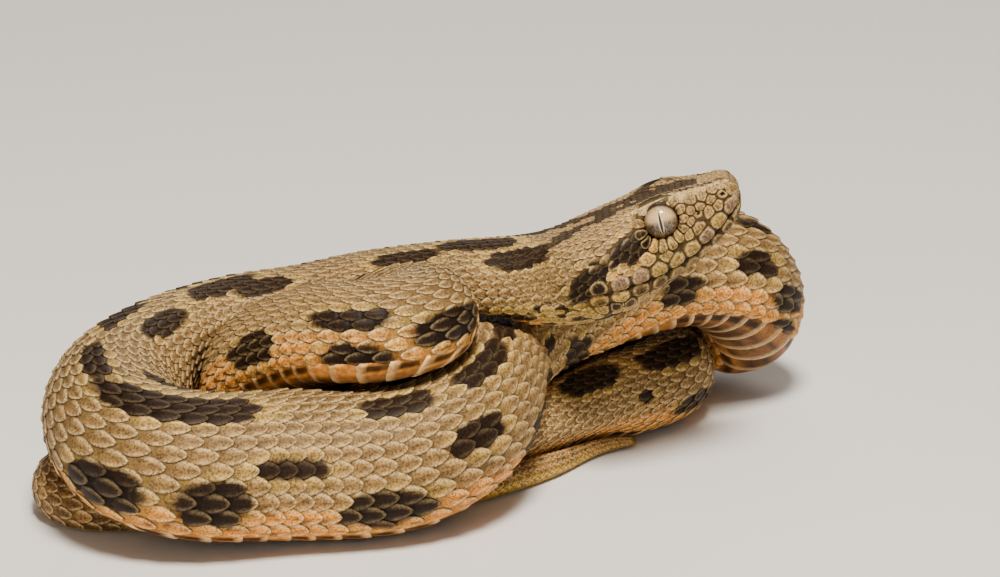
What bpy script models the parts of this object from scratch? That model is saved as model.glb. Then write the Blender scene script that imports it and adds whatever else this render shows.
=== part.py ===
"""A coiled lancehead (Bothrops), life size, at rest on a floor.

The body is one long tube that follows a smooth centre line from the snout to
the tail tip. Where two lengths of it press on each other, or on the floor,
each is flattened up to a plane between them. The tube is parted by thin cuts
into the head, the neck, the lengths of the trunk and the tail. The floor is
z = 0, the origin is in the middle of the footprint, +X is the way the head
points and -Y the side that the front run of the body lies on.
"""

import bmesh
import bpy
import numpy as np
from mathutils import Vector

MM = 0.001                  # every length below is in millimetres

# ---- driving dimensions ---------------------------------------------------
CUT = 0.3                   # width of the cuts that part one length from the next
CONTACT_GAP = 0.35          # kept on each side between lengths that touch
RING_STEP = 4.6             # spacing of the rings along the body
RING_SIDES = 20
FINE_STEP = 1.5             # spacing of the centre line's own samples
FINE_SAMPLES = 8000         # points of the spline from which those are read
KNOT_POWER = 0.5            # knots stand apart by this power of the points' distance
GIRTH_BLUR = 7              # samples over which the girth is evened out; an odd number
FEWEST_RINGS = 3            # of any length of the body
FOLD_LIMIT = 0.7            # how far the inner side of a bend may reach to its centre
NEIGHBOUR_GIRTHS = 2.6      # radii along the body within which a length doesn't press on itself
TOUCH_MARGIN = 2.0          # beyond the two radii, within which lengths are tested for touching
HEAD_LENGTH = 38.2          # snout tip to the start of the neck
EYE_RADIUS = 3.2
EYE_FROM_SNOUT = 13.4
EYE_HEIGHT = 2.4            # above the head's axis
EYE_OUT = 5.6               # from the head's axis to the eye's centre
SOCKET_GAP = 0.3
BROW_RISE = 1.4             # the shield over each eye, above the rounded section
BROW_AT = 12.4              # its middle, from the snout
BROW_LENGTH = 5.5
BROW_TURN = 48              # degrees up from the side
BROW_WIDTH = 16             # degrees

# The centre line, snout to tail tip, as the points that each length passes.
ROUTE = {
    "head": [(51.7, -13.9, 51.8), (44.5, -13.5, 48.2), (37.1, -13.2, 44.4), (29.6, -12.9, 40.5)],
    "neck": [(21.9, -12.3, 36.9), (14.3, -11.5, 35.1), (6.6, -10.0, 34.2), (-1.9, -7.9, 32.4),
             (-12.1, -5.8, 29.6)],
    "trunk_1": [(-22.3, -4.5, 26.3), (-31.6, -4.1, 24.2), (-40.2, -7.1, 22.4), (-47.4, -14.3, 21.1),
                (-52.7, -24.5, 19.4), (-52.7, -35.3, 17.8)],
    "trunk_2": [(-48.2, -43.2, 16.2), (-38.9, -45.6, 14.4), (-28.2, -42.8, 13.3), (-16.3, -40.2, 12.6),
                (-5.3, -37.7, 13.0)],
    "trunk_3": [(2.8, -31.7, 15.3), (6.8, -22.8, 17.7), (7.9, -13.4, 19.4), (11.3, -3.7, 20.0),
                (18.9, 5.2, 22.4)],
    "trunk_4": [(29.6, 11.2, 26.2), (40.6, 14.6, 28.8), (50.7, 19.2, 27.0), (56.1, 26.6, 19.2),
                (54.7, 34.8, 13.0), (47.5, 40.8, 14.8)],
    "trunk_5": [(36.6, 40.0, 18.6), (23.4, 35.2, 16.2), (10.0, 26.5, 12.8), (-1.1, 17.6, 10.2),
                (-9.5, 9.5, 9.0)],
    "trunk_6": [(-16.3, 1.0, 9.2), (-18.5, -7.0, 13.2), (-17.5, -12.8, 19.6)],
    "trunk_7": [(-12.8, -15.9, 25.6), (-5.7, -18.8, 30.8), (-0.9, -25.6, 33.4), (-3.7, -33.0, 34.2),
                (-11.7, -34.0, 33.2), (-19.3, -29.4, 31.0), (-25.5, -24.8, 27.4), (-29.9, -21.0, 23.0)],
    "trunk_8": [(-32.4, -17.3, 16.6), (-33.6, -10.9, 10.6), (-34.6, -2.0, 8.1), (-33.8, 8.6, 7.9),
                (-30.4, 19.7, 7.9)],
    "trunk_9": [(-22.7, 29.9, 8.2), (-11.3, 37.5, 8.2), (3.2, 43.5, 8.2), (18.5, 48.6, 8.2),
                (29.3, 49.6, 8.2)],
    "trunk_10": [(36.5, 44.6, 8.2), (39.3, 36.0, 8.2), (41.5, 26.2, 8.2), (42.0, 16.6, 8.2),
                 (35.8, 9.4, 8.2)],
    "trunk_11": [(28.1, 3.9, 7.8), (20.4, -2.8, 7.2), (13.0, -9.6, 6.4), (5.3, -15.6, 6.0),
                 (-5.3, -18.7, 5.7)],
    "trunk_12": [(-17.2, -20.2, 5.4), (-29.1, -21.4, 5.2), (-39.3, -21.9, 4.9), (-49.3, -18.6, 4.8),
                 (-57.5, -18.4, 4.6)],
    "tail": [(-61.8, -23.6, 4.4), (-61.7, -30.4, 4.2), (-57.9, -34.8, 4.0), (-50.7, -35.6, 3.8),
             (-43.3, -34.2, 3.7), (-35.1, -33.0, 3.5), (-26.5, -30.8, 3.2), (-16.3, -29.3, 3.0),
             (-6.1, -27.9, 2.6), (3.2, -25.8, 2.4), (10.0, -21.9, 2.2), (15.5, -17.0, 2.0),
             (20.6, -11.8, 1.7), (25.3, -5.8, 1.5), (30.0, -1.1, 1.4), (35.4, 1.8, 1.0)],
}

# The body's radius at distances from the snout.
GIRTH = [(0, 6.5), (37, 7.9), (46, 7.6), (56, 7.8), (75, 9.0), (93, 10.1), (114, 11.4), (139, 12.5),
         (173, 13.0), (195, 12.8), (220, 12.2), (258, 11.5), (292, 11.1), (335, 10.2), (377, 9.4),
         (462, 9.0), (581, 8.5), (645, 8.4), (668, 8.0), (683, 7.0), (709, 6.2), (743, 5.6),
         (777, 4.8), (798, 4.2), (822, 3.3), (844, 2.5), (857, 1.8), (865, 1.3), (868, 0.6)]

# The head's sections: distance from the snout, half width, top and bottom.
HEAD_SECTIONS = [(0.0, 1.4, 2.0, -0.5), (0.3, 2.9, 2.9, -1.4), (0.9, 4.2, 3.4, -2.6), (2.2, 5.3, 3.9, -4.2),
                 (4.7, 6.4, 4.3, -5.6), (8.5, 7.7, 4.8, -6.9), (12.4, 8.8, 5.4, -7.9),
                 (16.2, 9.9, 5.9, -8.8), (20.2, 11.2, 6.3, -9.9), (24.2, 12.1, 6.5, -10.4),
                 (28.1, 11.9, 6.7, -10.3), (32.0, 10.4, 6.9, -9.7), (35.7, 8.7, 7.1, -8.9),
                 (38.05, 7.9, 7.3, -8.3)]
HEAD_SIDES = 28
HEAD_SQUARENESS = 2.7       # exponent of the head's rounded sections

SKIN_COLOUR = (0.30, 0.22, 0.13, 1.0)
EYE_COLOUR = (0.55, 0.47, 0.33, 1.0)


# ---- the centre line ------------------------------------------------------
def natural_spline(knots, points, at):
    """The natural cubic spline through points (one row for each knot), read at the values in at."""
    count = len(knots)
    gaps = np.diff(knots)
    slopes = np.diff(points, axis=0) / gaps[:, None]
    system = np.eye(count)
    right = np.zeros_like(points)
    for k in range(1, count - 1):
        system[k, k - 1:k + 2] = gaps[k - 1], 2 * (gaps[k - 1] + gaps[k]), gaps[k]
        right[k] = 6 * (slopes[k] - slopes[k - 1])
    bend = np.linalg.solve(system, right)
    seg = np.clip(np.searchsorted(knots, at, side="right") - 1, 0, count - 2)
    gap = gaps[seg][:, None]
    before = (at - knots[seg])[:, None]
    after = gap - before
    return (bend[seg] * after ** 3 / (6 * gap) + bend[seg + 1] * before ** 3 / (6 * gap)
            + (points[seg] / gap - bend[seg] * gap / 6) * after
            + (points[seg + 1] / gap - bend[seg + 1] * gap / 6) * before)


class CentreLine:
    """The body's centre line by distance from the snout, with its girth and frame."""

    def __init__(self):
        points = np.array([p for length in ROUTE.values() for p in length])
        knots = np.r_[0, np.cumsum(np.linalg.norm(np.diff(points, axis=0), axis=1) ** KNOT_POWER)]
        fine = natural_spline(knots, points, np.linspace(0, knots[-1], FINE_SAMPLES))
        along = np.r_[0, np.cumsum(np.linalg.norm(np.diff(fine, axis=0), axis=1))]
        self.length = along[-1]
        self.s = np.linspace(0, self.length, int(self.length / FINE_STEP) + 1)
        self.point = np.stack([np.interp(self.s, along, fine[:, k]) for k in range(3)], axis=1)
        tangent = np.gradient(self.point, self.s, axis=0)
        self.tangent = tangent / np.linalg.norm(tangent, axis=1)[:, None]
        self.bend = np.gradient(self.tangent, self.s, axis=0)
        girth = np.interp(self.s, *np.array(GIRTH, float).T)
        blur = np.ones(GIRTH_BLUR) / GIRTH_BLUR
        self.radius = np.convolve(np.pad(girth, GIRTH_BLUR // 2, mode="edge"), blur, mode="valid")
        knot_at = {}
        row = 0
        for name, length in ROUTE.items():
            knot_at[name] = row
            row += len(length)
        nearest = [np.argmin(np.linalg.norm(fine - points[k], axis=1)) for k in knot_at.values()]
        self.start = dict(zip(knot_at, along[nearest]))

    def at(self, s):
        """Point, tangent, bend and radius at distance s."""
        read = [np.array([np.interp(s, self.s, rows[:, k]) for k in range(3)])
                for rows in (self.point, self.tangent, self.bend)]
        return (*read, np.interp(s, self.s, self.radius))


def frame_at(tangent):
    """The directions to the body's left and to its back, square to the tangent."""
    left = np.cross((0.0, 0.0, 1.0), tangent)
    left /= np.linalg.norm(left)
    return left, np.cross(tangent, left)


def pressed_reach(line, s, directions):
    """How far the body reaches in each direction at s, pressed by the rest of it and the floor."""
    point, _, bend, radius = line.at(s)
    reach = np.full(len(directions), radius)
    inward = directions @ bend
    reach = np.minimum(reach, FOLD_LIMIT / np.maximum(inward, 1e-6))
    offset = line.point - point
    distance = np.linalg.norm(offset, axis=1)
    apart = np.abs(line.s - s) > NEIGHBOUR_GIRTHS * np.maximum(line.radius, radius) + TOUCH_MARGIN
    near = np.where(apart & (distance < line.radius + radius + TOUCH_MARGIN))[0]
    for k in near:
        toward = directions @ (offset[k] / distance[k])
        share = distance[k] * radius / (radius + line.radius[k]) - CONTACT_GAP
        reach = np.minimum(reach, np.where(toward > 1e-6, share / np.maximum(toward, 1e-6), np.inf))
    down = -directions[:, 2]
    return np.minimum(reach, np.where(down > 1e-6, point[2] / np.maximum(down, 1e-6), np.inf))


# ---- meshes ---------------------------------------------------------------
def material(name, colour, roughness):
    made = bpy.data.materials.new(name)
    made.use_nodes = True
    shader = made.node_tree.nodes["Principled BSDF"]
    shader.inputs["Base Color"].default_value = colour
    shader.inputs["Roughness"].default_value = roughness
    return made


def loft(name, rings, collection, finish):
    """A closed solid through rings of points, each with the same number, capped at both ends."""
    mesh = bpy.data.meshes.new(name)
    build = bmesh.new()
    rows = [[build.verts.new(Vector(p) * MM) for p in ring] for ring in rings]
    sides = len(rows[0])
    for a, b in zip(rows, rows[1:]):
        for k in range(sides):
            build.faces.new((a[k], a[(k + 1) % sides], b[(k + 1) % sides], b[k]))
    build.faces.new(rows[0][::-1])
    build.faces.new(rows[-1])
    bmesh.ops.triangulate(build, faces=build.faces[:])
    bmesh.ops.recalc_face_normals(build, faces=build.faces[:])
    build.to_mesh(mesh)
    build.free()
    mesh.shade_smooth()
    made = bpy.data.objects.new(name, mesh)
    made.data.materials.append(finish)
    collection.objects.link(made)
    return made


def body_rings(line, start, end):
    count = max(FEWEST_RINGS, int(round((end - start) / RING_STEP)) + 1)
    turn = np.arange(RING_SIDES) * 2 * np.pi / RING_SIDES
    rings = []
    for s in np.linspace(start, end, count):
        point, tangent, _, _ = line.at(s)
        left, back = frame_at(tangent)
        directions = np.cos(turn)[:, None] * left + np.sin(turn)[:, None] * back
        rings.append(point + directions * pressed_reach(line, s, directions)[:, None])
    return rings


def brow(s, section):
    """How far the brow shields stand out from points of the head's section."""
    turn = np.degrees(np.arctan2(section[:, 1], np.abs(section[:, 0])))
    return BROW_RISE * np.exp(-((s - BROW_AT) / BROW_LENGTH) ** 2 - ((turn - BROW_TURN) / BROW_WIDTH) ** 2)


def head_rings(line):
    turn = np.arange(HEAD_SIDES) * 2 * np.pi / HEAD_SIDES
    power = 2 / HEAD_SQUARENESS
    across = np.sign(np.cos(turn)) * np.abs(np.cos(turn)) ** power
    height = np.sign(np.sin(turn)) * np.abs(np.sin(turn)) ** power
    rings = []
    for s, width, top, bottom in HEAD_SECTIONS:
        point, tangent, _, _ = line.at(s)
        left, back = frame_at(tangent)
        reach = np.where(height > 0, top, -bottom)
        section = np.stack([across * width, height * reach], axis=1)
        section *= 1 + (brow(s, section) / np.linalg.norm(section, axis=1))[:, None]
        rings.append(point + section[:, :1] * left + section[:, 1:] * back)
    return rings


def eye(name, line, side, collection, finish, radius=EYE_RADIUS):
    point, tangent, _, _ = line.at(EYE_FROM_SNOUT)
    left, back = frame_at(tangent)
    centre = point + side * EYE_OUT * left + EYE_HEIGHT * back
    bpy.ops.mesh.primitive_uv_sphere_add(segments=20, ring_count=10, radius=radius * MM,
                                         location=Vector(centre) * MM)
    made = bpy.context.object
    made.name = name
    made.data.name = name
    made.data.materials.append(finish)
    made.data.shade_smooth()
    for owner in list(made.users_collection):
        owner.objects.unlink(made)
    collection.objects.link(made)
    return made


def cut_socket(head, cutter):
    cutter.hide_render = True
    cutter.display_type = "WIRE"
    cut = head.modifiers.new("socket", "BOOLEAN")
    cut.operation = "DIFFERENCE"
    cut.object = cutter


# ---- the snake ------------------------------------------------------------
def main():
    for old in list(bpy.data.objects):
        bpy.data.objects.remove(old, do_unlink=True)
    parts = bpy.data.collections.new("coiled_snake")
    cutters = bpy.data.collections.new("cutters")
    for collection in (parts, cutters):
        bpy.context.scene.collection.children.link(collection)
    skin = material("skin", SKIN_COLOUR, 0.6)
    glassy = material("eye", EYE_COLOUR, 0.15)

    line = CentreLine()
    head = loft("head", head_rings(line), parts, skin)
    for name, side in (("eye_left", 1), ("eye_right", -1)):
        eye(name, line, side, parts, glassy)
        cut_socket(head, eye(name + "_socket", line, side, cutters, glassy, EYE_RADIUS + SOCKET_GAP))

    names = [name for name in ROUTE if name != "head"]
    starts = [HEAD_LENGTH] + [line.start[name] for name in names[1:]] + [line.length + CUT / 2]
    for name, start, end in zip(names, starts, starts[1:]):
        loft(name, body_rings(line, start + CUT / 2, end - CUT / 2), parts, skin)


main()
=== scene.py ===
"""The looks of a coiled lancehead: skin, scales, eyes, floor, light and camera.

The centre line, girth and head sections are the model's own. Over them lie one
skin, and scales as solid mesh that overlap toward the tail. Lengths are in
millimetres until a mesh is made. A place on the body is a distance s from the
snout and a turn about the centre line, 0 at the middle of the back. Left is
left when looking from the snout toward the tail, the animal's own right side.
"""

import math
from collections import namedtuple

import bpy
import numpy as np
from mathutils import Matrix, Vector


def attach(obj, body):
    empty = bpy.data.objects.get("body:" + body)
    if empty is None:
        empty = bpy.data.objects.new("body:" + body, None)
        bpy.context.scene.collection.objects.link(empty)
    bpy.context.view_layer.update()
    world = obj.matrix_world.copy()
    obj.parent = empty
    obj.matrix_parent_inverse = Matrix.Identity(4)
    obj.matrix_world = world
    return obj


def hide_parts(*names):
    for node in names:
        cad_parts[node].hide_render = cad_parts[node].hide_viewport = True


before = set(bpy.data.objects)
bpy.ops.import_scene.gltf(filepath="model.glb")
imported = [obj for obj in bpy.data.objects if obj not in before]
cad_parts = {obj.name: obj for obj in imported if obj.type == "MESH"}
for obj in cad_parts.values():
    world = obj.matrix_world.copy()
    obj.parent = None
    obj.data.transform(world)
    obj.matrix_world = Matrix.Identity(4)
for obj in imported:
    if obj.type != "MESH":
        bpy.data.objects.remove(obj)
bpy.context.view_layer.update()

MM = 0.001
TINY = 1e-6
RNG = np.random.default_rng(7)

# ---- the body's shape, as in the solids ------------------------------------
CONTACT_GAP = 0.35          # kept on each side between lengths that touch
FOLD_LIMIT = 0.7            # how far the inner side of a bend may reach to its centre
FINE_STEP = 1.5             # spacing of the centre line's own samples
FINE_SAMPLES = 8000         # points of the spline from which those are read
KNOT_POWER = 0.5            # knots stand apart by this power of the points' distance
GIRTH_BLUR = 7              # samples over which the girth is evened out; an odd number
NEIGHBOUR_GIRTHS = 2.6      # radii along the body within which a length doesn't press on itself
TOUCH_MARGIN = 2.0          # beyond the two radii, within which lengths are tested for touching
HEAD_SQUARENESS = 2.7       # exponent of the head's rounded sections
EYE_RADIUS, EYE_FROM_SNOUT, EYE_HEIGHT, EYE_OUT = 3.2, 13.4, 2.4, 5.6
BROW_RISE, BROW_AT, BROW_LENGTH, BROW_TURN, BROW_WIDTH = 1.4, 12.4, 5.5, 48, 16

ROUTE = [(51.7, -13.9, 51.8), (44.5, -13.5, 48.2), (37.1, -13.2, 44.4), (29.6, -12.9, 40.5),
         (21.9, -12.3, 36.9), (14.3, -11.5, 35.1), (6.6, -10.0, 34.2), (-1.9, -7.9, 32.4),
         (-12.1, -5.8, 29.6),
         (-22.3, -4.5, 26.3), (-31.6, -4.1, 24.2), (-40.2, -7.1, 22.4), (-47.4, -14.3, 21.1),
         (-52.7, -24.5, 19.4), (-52.7, -35.3, 17.8),
         (-48.2, -43.2, 16.2), (-38.9, -45.6, 14.4), (-28.2, -42.8, 13.3), (-16.3, -40.2, 12.6),
         (-5.3, -37.7, 13.0),
         (2.8, -31.7, 15.3), (6.8, -22.8, 17.7), (7.9, -13.4, 19.4), (11.3, -3.7, 20.0),
         (18.9, 5.2, 22.4),
         (29.6, 11.2, 26.2), (40.6, 14.6, 28.8), (50.7, 19.2, 27.0), (56.1, 26.6, 19.2),
         (54.7, 34.8, 13.0), (47.5, 40.8, 14.8),
         (36.6, 40.0, 18.6), (23.4, 35.2, 16.2), (10.0, 26.5, 12.8), (-1.1, 17.6, 10.2),
         (-9.5, 9.5, 9.0),
         (-16.3, 1.0, 9.2), (-18.5, -7.0, 13.2), (-17.5, -12.8, 19.6),
         (-12.8, -15.9, 25.6), (-5.7, -18.8, 30.8), (-0.9, -25.6, 33.4), (-3.7, -33.0, 34.2),
         (-11.7, -34.0, 33.2), (-19.3, -29.4, 31.0), (-25.5, -24.8, 27.4), (-29.9, -21.0, 23.0),
         (-32.4, -17.3, 16.6), (-33.6, -10.9, 10.6), (-34.6, -2.0, 8.1), (-33.8, 8.6, 7.9),
         (-30.4, 19.7, 7.9),
         (-22.7, 29.9, 8.2), (-11.3, 37.5, 8.2), (3.2, 43.5, 8.2), (18.5, 48.6, 8.2),
         (29.3, 49.6, 8.2),
         (36.5, 44.6, 8.2), (39.3, 36.0, 8.2), (41.5, 26.2, 8.2), (42.0, 16.6, 8.2),
         (35.8, 9.4, 8.2),
         (28.1, 3.9, 7.8), (20.4, -2.8, 7.2), (13.0, -9.6, 6.4), (5.3, -15.6, 6.0),
         (-5.3, -18.7, 5.7),
         (-17.2, -20.2, 5.4), (-29.1, -21.4, 5.2), (-39.3, -21.9, 4.9), (-49.3, -18.6, 4.8),
         (-57.5, -18.4, 4.6),
         (-61.8, -23.6, 4.4), (-61.7, -30.4, 4.2), (-57.9, -34.8, 4.0), (-50.7, -35.6, 3.8),
         (-43.3, -34.2, 3.7), (-35.1, -33.0, 3.5), (-26.5, -30.8, 3.2), (-16.3, -29.3, 3.0),
         (-6.1, -27.9, 2.6), (3.2, -25.8, 2.4), (10.0, -21.9, 2.2), (15.5, -17.0, 2.0),
         (20.6, -11.8, 1.7), (25.3, -5.8, 1.5), (30.0, -1.1, 1.4), (35.4, 1.8, 1.0)]
GIRTH = [(0, 6.5), (37, 7.9), (46, 7.6), (56, 7.8), (75, 9.0), (93, 10.1), (114, 11.4), (139, 12.5),
         (173, 13.0), (195, 12.8), (220, 12.2), (258, 11.5), (292, 11.1), (335, 10.2), (377, 9.4),
         (462, 9.0), (581, 8.5), (645, 8.4), (668, 8.0), (683, 7.0), (709, 6.2), (743, 5.6),
         (777, 4.8), (798, 4.2), (822, 3.3), (844, 2.5), (857, 1.8), (865, 1.3), (868, 0.6)]
HEAD_SECTIONS = [(0.0, 1.4, 2.0, -0.5), (0.3, 2.9, 2.9, -1.4), (0.9, 4.2, 3.4, -2.6), (2.2, 5.3, 3.9, -4.2),
                 (4.7, 6.4, 4.3, -5.6), (8.5, 7.7, 4.8, -6.9), (12.4, 8.8, 5.4, -7.9),
                 (16.2, 9.9, 5.9, -8.8), (20.2, 11.2, 6.3, -9.9), (24.2, 12.1, 6.5, -10.4),
                 (28.1, 11.9, 6.7, -10.3), (32.0, 10.4, 6.9, -9.7), (35.7, 8.7, 7.1, -8.9),
                 (38.05, 7.9, 7.3, -8.3)]

# ---- the skin ---------------------------------------------------------------
# Tables by distance from the snout hold (distance, value). This one: how far the back leans to the left,
# in degrees.
ROLL = [(0, 0), (245, 0), (262, 12), (300, 12), (330, 0), (385, 0), (412, -18), (440, -30),
        (474, -30), (502, -10), (528, 0), (873, 0)]
COAT_DEPTH = [(0, 0.18), (4, 0.25), (30, 0.32), (60, 0.40), (140, 0.55), (580, 0.42), (750, 0.32),
              (840, 0.2), (873, 0.08)]
FACET_GAP = 0.12            # by which the smooth skin keeps inside the faceted solids
FACET_SHARE = [(0, 1), (750, 1), (868, 0.3)]    # of that gap, as the facets shrink on the tail
SNOUT_RINGS = [0, 0.12, 0.3, 0.55, 0.85, 1.2, 1.6]
HEAD_RINGS = (2.0, 42.0, 0.33)                  # first, end, spacing
BODY_RING_STEP = 1.35
HEAD_TO_BODY = (36.5, 43.0)                     # where the head's sections pass into the body's
EASED_FROM, EASE_ROUNDS = 44, 3                 # the edges of pressed places are rounded off from there on
ARC_LEAST = 0.25            # least mm of skin counted for a radian of turn
STRETCH_RANGE = (0.5, 1.9)  # least and most mm of skin counted for a mm of the centre line

MOUTH = [(0, -0.8), (1, -1.6), (3.3, -2.8), (6.8, -4.5), (10.7, -5.6), (14, -6.0), (17, -5.8), (20.5, -5.1),
         (24.5, -4.3), (28, -3.3)]              # height of the line between the lips over the head's axis
STRIPE = [(14, 2.0), (17, 1.6), (22, 0.7), (25.5, 0.1), (30, -1.7), (34, -3.0)]     # and of the dark stripe
STRIPE_HALF = [(14, 0.9), (17, 1.6), (20.5, 2.1), (23.6, 0.7), (26, 2.1), (30, 2.1), (33, 1.2)]
PIT, NOSTRIL = (7.3, 0.7), (2.3, 1.7)           # distance from the snout and height over the axis
# Folds along the mouth: rise, height over the line between the lips, half height.
LIP_FOLDS = [(-0.50, 0.0, 0.30), (0.30, 1.1, 0.9), (0.22, -1.2, 0.9)]
# Folds of the face: rise, place, half length and height, and how far out from the middle they set in.
FACE_FOLDS = [(-1.3, PIT, (0.8, 0.6), (2, 4)), (-0.9, NOSTRIL, (0.5, 0.45), (1.2, 2.4)),
              (-0.35, (6.3, 1.5), (2.6, 1.1), (2, 4)), (0.27, (27, -1.5), (4.5, 3.0), (5, 8))]
CHIN_GROOVE, CHIN_GROOVE_HALF = 0.35, 0.5
SOCKET_RIM, SOCKET_DEPTH = 0.08, 0.45           # beyond the eye's radius, and under the eye's surface
LID_RISE, LID_RADIUS, LID_HALF = 0.30, 3.9, 0.6

# ---- the coat ---------------------------------------------------------------
# Spacing of the scales in each row.
SPACING = [(38, 1.9), (60, 2.2), (85, 2.7), (110, 3.1), (135, 3.3), (150, 3.4), (195, 3.4), (215, 3.4),
           (245, 3.2), (300, 3.1), (400, 3.0), (425, 2.6), (478, 2.6), (560, 2.9), (630, 2.6), (668, 2.6),
           (755, 2.4), (800, 2.0), (850, 1.4), (868, 1.0)]
# (start, end, rows of scales from the middle of the back to the belly on one side)
ROW_ZONES = [(33, 118, 12), (118, 330, 11), (330, 515, 13), (515, 700, 12), (700, 748, 10), (748, 796, 6),
             (796, 836, 4), (836, 866.5, 4)]
LONGEST_PIECE, PIECE_LENGTH = 160, 150          # a zone over the first is cut to pieces under the second
# By share of the way from the back to the belly: a scale's length and width over its spacing.
ROW_SHARES, ROW_LONG, ROW_WIDE = (0, 0.85, 1), (1.5, 1.48, 1.42), (1.34, 1.32, 1.24)
BELLY_FROM = 140.0          # degrees from the middle of the back to the belly plates
BELLY_OVERLAP = 3.0         # degrees by which a belly plate is wider than its place
BELLY_SPACING = 1.25        # belly plates stand apart by this times the spacing of the scales
VENT = 750.0
SKIRT = 0.12                # depth of a scale's edge below the skin
BROW_PLATE, BROW_PLATE_TURN = 12.6, 52          # its middle, from the snout and in degrees from the back

# Dark blotches stand in rows along the body: distance from the snout to the row's first blotch, gap to
# the next, how many, then their half length, turn from the back in degrees and half width in degrees.
MARK_ROWS = [(38, 0, 1, 7, 46, 16), (46, 46, 2, 7.5, 12, 16), (58, 26, 3, 6.5, 27, 13),
             (112, 17, 2, 6, -14, 12), (147, 0, 1, 13, -20, 17), (184, 17, 2, 6.5, -25, 12),
             (164, 0, 1, 7, -74, 11), (193, 0, 1, 4, -71, 13), (142, 11, 2, 4, -102, 21),
             (180, 26, 2, 6, -112, 19), (262, 20, 2, 4, -108, 13), (274, 0, 1, 3.5, -84, 13),
             (275, 10, 2, 3, -40, 9), (285, 0, 1, 3, -140, 12), (438, 26, 2, 4.8, 110, 20),
             (448, 0, 1, 4.5, 87, 13), (448, 0, 1, 4, 132, 17), (634, 18, 2, 7.5, 36, 19),
             (642, 0, 1, 2, 82, 8), (632, 0, 1, 4, 112, 15)]
# Lengths, from and to, whose side (1 left, -1 right) carries only those; the rest repeat along the body.
MARKED = [(28, 122, 1), (118, 214, -1), (252, 296, -1), (426, 480, 1), (622, 668, 1)]
MARK_PERIOD, MARKS_FROM, MARKED_LENGTH, MARKS_END = 17.5, 34, 715, 740
# Repeating blotches: place in the period, half length, turn, half width.
MARK_CYCLE = [(0.0, 6.5, 26, 13), (0.5, 4.0, 72, 9), (0.12, 4.5, 104, 15)]
RIGHT_LAG = 0.35            # periods by which the right side's blotches stand behind the left's
BLOTCH_POWER = 2.2          # exponent of a blotch's rounded outline

Scales = namedtuple("Scales", "s turn long wide lean lift kind keel")


def table(s, rows):
    """The value at s in a table of (distance from the snout, value)."""
    return np.interp(s, *np.array(rows, float).T)


def bump(x, width):
    return np.exp(-(x / width) ** 2)


def smooth(a, b, x):
    """0 up to a, rising to 1 at b; or falling, where b is the smaller."""
    t = np.clip((x - a) / (b - a), 0, 1)
    return t * t * (3 - 2 * t)


def plateau(a, b, c, d, x):
    """Rises from 0 at a to 1 at b and falls back to 0 from c to d."""
    return smooth(a, b, x) * (1 - smooth(c, d, x))


def spot(s, height, place, half):
    """1 at a place on the side of the head, fading over its half length and half height."""
    return bump(s - place[0], half[0]) * bump(height - place[1], half[1])


def degrees_round(turn):
    """Turn in degrees from the middle of the back, from -180 to 180."""
    return np.degrees((turn + np.pi) % (2 * np.pi) - np.pi)


def natural_spline(knots, points, at):
    count = len(knots)
    gaps = np.diff(knots)
    slopes = np.diff(points, axis=0) / gaps[:, None]
    system = np.eye(count)
    right = np.zeros_like(points)
    for k in range(1, count - 1):
        system[k, k - 1:k + 2] = gaps[k - 1], 2 * (gaps[k - 1] + gaps[k]), gaps[k]
        right[k] = 6 * (slopes[k] - slopes[k - 1])
    bend = np.linalg.solve(system, right)
    seg = np.clip(np.searchsorted(knots, at, side="right") - 1, 0, count - 2)
    gap = gaps[seg][:, None]
    before = (at - knots[seg])[:, None]
    after = gap - before
    return (bend[seg] * after ** 3 / (6 * gap) + bend[seg + 1] * before ** 3 / (6 * gap)
            + (points[seg] / gap - bend[seg] * gap / 6) * after
            + (points[seg + 1] / gap - bend[seg + 1] * gap / 6) * before)


class CentreLine:
    """The body's axis, snout to tail tip, at even steps: place, direction, bend and radius."""

    def __init__(self):
        points = np.array(ROUTE)
        knots = np.r_[0, np.cumsum(np.linalg.norm(np.diff(points, axis=0), axis=1) ** KNOT_POWER)]
        fine = natural_spline(knots, points, np.linspace(0, knots[-1], FINE_SAMPLES))
        along = np.r_[0, np.cumsum(np.linalg.norm(np.diff(fine, axis=0), axis=1))]
        self.length = along[-1]
        self.s = np.linspace(0, self.length, int(self.length / FINE_STEP) + 1)
        self.point = np.stack([np.interp(self.s, along, fine[:, k]) for k in range(3)], axis=1)
        tangent = np.gradient(self.point, self.s, axis=0)
        self.tangent = tangent / np.linalg.norm(tangent, axis=1)[:, None]
        self.bend = np.gradient(self.tangent, self.s, axis=0)
        blur = np.ones(GIRTH_BLUR) / GIRTH_BLUR
        girth = np.pad(table(self.s, GIRTH), GIRTH_BLUR // 2, mode="edge")
        self.radius = np.convolve(girth, blur, mode="valid")

    def at(self, s):
        read = [np.array([np.interp(s, self.s, rows[:, k]) for k in range(3)])
                for rows in (self.point, self.tangent, self.bend)]
        return (*read, np.interp(s, self.s, self.radius))


def frame_at(tangent):
    """The directions to the body's left and to its back, square to the tangent."""
    left = np.cross((0.0, 0.0, 1.0), tangent)
    left /= np.linalg.norm(left)
    return left, np.cross(tangent, left)


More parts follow.
